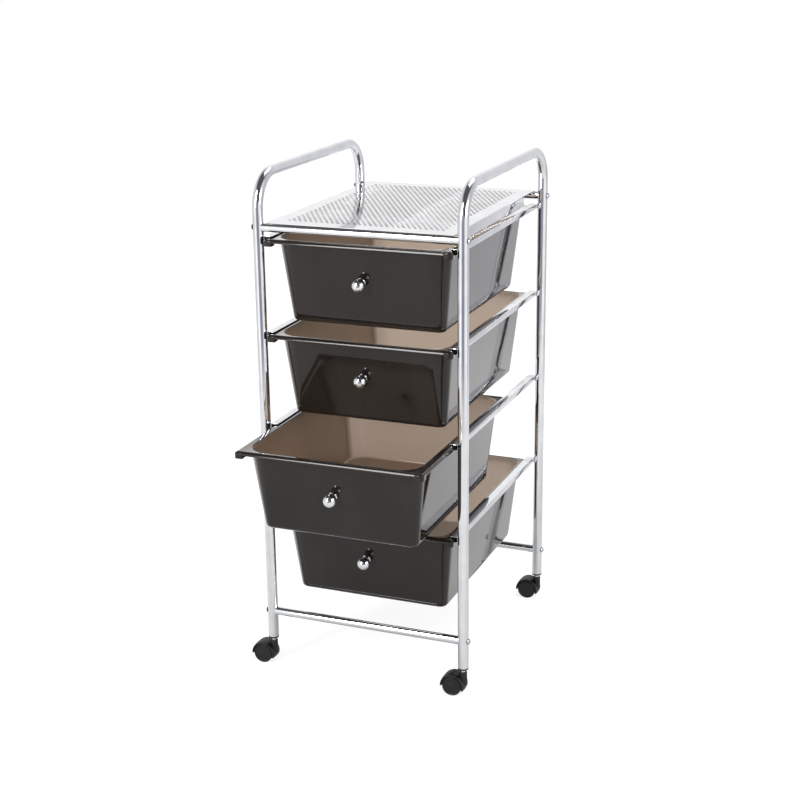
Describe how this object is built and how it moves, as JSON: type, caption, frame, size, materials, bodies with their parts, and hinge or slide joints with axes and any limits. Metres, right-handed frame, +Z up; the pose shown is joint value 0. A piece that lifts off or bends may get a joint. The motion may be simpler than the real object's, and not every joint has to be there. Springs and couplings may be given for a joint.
{
  "type": "drawer trolley",
  "caption": "Narrow chromed trolley with bent tube sides, a perforated top shelf, smoked plastic pull-out drawers in side runners and swiveling twin wheel casters.",
  "frame": {"origin": "on the floor, in the middle of the box round the whole cart as it stands, one drawer pulled out", "axes": "+Z up, the drawers open towards -Y, +X to the right seen from the front"},
  "size_m": [0.3591, 0.5157, 0.774],
  "materials": {
    "chromed_tube": "bright chrome plating",
    "chromed_sheet": "bright chrome plating on folded sheet",
    "chromed_knob": "polished chrome",
    "chromed_pin": "bright plated steel pin",
    "zinc_screw": "bright plated screw",
    "smoked_plastic": "glossy translucent smoke grey",
    "black_plastic": "satin moulded black",
    "black_tread": "hard satin black wheel"
  },
  "bodies": {
    "frame": {"left_side_tube": "chromed_tube", "right_side_tube": "chromed_tube", "top_front_bar": "chromed_tube", "top_rear_bar": "chromed_tube", "bottom_front_bar": "chromed_tube", "bottom_rear_bar": "chromed_tube", "frame_screws": "zinc_screw", "top_shelf": "chromed_sheet", "left_runner_1": "chromed_sheet", "left_runner_2": "chromed_sheet", "left_runner_3": "chromed_sheet", "left_runner_4": "chromed_sheet", "right_runner_1": "chromed_sheet", "right_runner_2": "chromed_sheet", "right_runner_3": "chromed_sheet", "right_runner_4": "chromed_sheet", "socket_front_left": "black_plastic", "socket_front_right": "black_plastic", "socket_rear_left": "black_plastic", "socket_rear_right": "black_plastic"},
    "drawer_1_body": {"drawer_1": "smoked_plastic", "knob_1": "chromed_knob", "knob_screw_1": "zinc_screw"},
    "drawer_2_body": {"drawer_2": "smoked_plastic", "knob_2": "chromed_knob", "knob_screw_2": "zinc_screw"},
    "drawer_3_body": {"drawer_3": "smoked_plastic", "knob_3": "chromed_knob", "knob_screw_3": "zinc_screw"},
    "drawer_4_body": {"drawer_4": "smoked_plastic", "knob_4": "chromed_knob", "knob_screw_4": "zinc_screw"},
    "caster_front_left": {"stem_front_left": "chromed_pin", "hood_front_left": "black_plastic", "axle_front_left": "chromed_pin"},
    "caster_front_right": {"stem_front_right": "chromed_pin", "hood_front_right": "black_plastic", "axle_front_right": "chromed_pin"},
    "caster_rear_left": {"stem_rear_left": "chromed_pin", "hood_rear_left": "black_plastic", "axle_rear_left": "chromed_pin"},
    "caster_rear_right": {"stem_rear_right": "chromed_pin", "hood_rear_right": "black_plastic", "axle_rear_right": "chromed_pin"},
    "near_wheel_front_left_body": {"near_wheel_front_left": "black_tread"},
    "far_wheel_front_left_body": {"far_wheel_front_left": "black_tread"},
    "near_wheel_front_right_body": {"near_wheel_front_right": "black_tread"},
    "far_wheel_front_right_body": {"far_wheel_front_right": "black_tread"},
    "near_wheel_rear_left_body": {"near_wheel_rear_left": "black_tread"},
    "far_wheel_rear_left_body": {"far_wheel_rear_left": "black_tread"},
    "near_wheel_rear_right_body": {"near_wheel_rear_right": "black_tread"},
    "far_wheel_rear_right_body": {"far_wheel_rear_right": "black_tread"}
  },
  "joints": [
    {"name": "drawer_1_slide", "type": "slide", "parent": "frame", "child": "drawer_1_body", "axis": [0, -1, 0], "range_m": [0, 0.28]},
    {"name": "drawer_2_slide", "type": "slide", "parent": "frame", "child": "drawer_2_body", "axis": [0, -1, 0], "range_m": [0, 0.28]},
    {"name": "drawer_3_slide", "type": "slide", "parent": "frame", "child": "drawer_3_body", "axis": [0, -1, 0], "range_m": [-0.116, 0.164]},
    {"name": "drawer_4_slide", "type": "slide", "parent": "frame", "child": "drawer_4_body", "axis": [0, -1, 0], "range_m": [0, 0.28]},
    {"name": "caster_front_left_swivel", "type": "hinge", "parent": "frame", "child": "caster_front_left", "pos_m": [-0.14555, -0.12613, 0.042], "axis": [0, 0, 1], "continuous": true},
    {"name": "caster_front_right_swivel", "type": "hinge", "parent": "frame", "child": "caster_front_right", "pos_m": [0.16845, -0.12613, 0.042], "axis": [0, 0, 1], "continuous": true},
    {"name": "caster_rear_left_swivel", "type": "hinge", "parent": "frame", "child": "caster_rear_left", "pos_m": [-0.14555, 0.24787, 0.042], "axis": [0, 0, 1], "continuous": true},
    {"name": "caster_rear_right_swivel", "type": "hinge", "parent": "frame", "child": "caster_rear_right", "pos_m": [0.16845, 0.24787, 0.042], "axis": [0, 0, 1], "continuous": true},
    {"name": "near_wheel_front_left_spin", "type": "hinge", "parent": "caster_front_left", "child": "near_wheel_front_left_body", "pos_m": [-0.16055, -0.13353, 0.015], "axis": [0, 1, 0], "continuous": true},
    {"name": "far_wheel_front_left_spin", "type": "hinge", "parent": "caster_front_left", "child": "far_wheel_front_left_body", "pos_m": [-0.16055, -0.11873, 0.015], "axis": [0, 1, 0], "continuous": true},
    {"name": "near_wheel_front_right_spin", "type": "hinge", "parent": "caster_front_right", "child": "near_wheel_front_right_body", "pos_m": [0.15345, -0.13353, 0.015], "axis": [0, 1, 0], "continuous": true},
    {"name": "far_wheel_front_right_spin", "type": "hinge", "parent": "caster_front_right", "child": "far_wheel_front_right_body", "pos_m": [0.15345, -0.11873, 0.015], "axis": [0, 1, 0], "continuous": true},
    {"name": "near_wheel_rear_left_spin", "type": "hinge", "parent": "caster_rear_left", "child": "near_wheel_rear_left_body", "pos_m": [-0.16055, 0.24047, 0.015], "axis": [0, 1, 0], "continuous": true},
    {"name": "far_wheel_rear_left_spin", "type": "hinge", "parent": "caster_rear_left", "child": "far_wheel_rear_left_body", "pos_m": [-0.16055, 0.25527, 0.015], "axis": [0, 1, 0], "continuous": true},
    {"name": "near_wheel_rear_right_spin", "type": "hinge", "parent": "caster_rear_right", "child": "near_wheel_rear_right_body", "pos_m": [0.15345, 0.24047, 0.015], "axis": [0, 1, 0], "continuous": true},
    {"name": "far_wheel_rear_right_spin", "type": "hinge", "parent": "caster_rear_right", "child": "far_wheel_rear_right_body", "pos_m": [0.15345, 0.25527, 0.015], "axis": [0, 1, 0], "continuous": true}
  ]
}
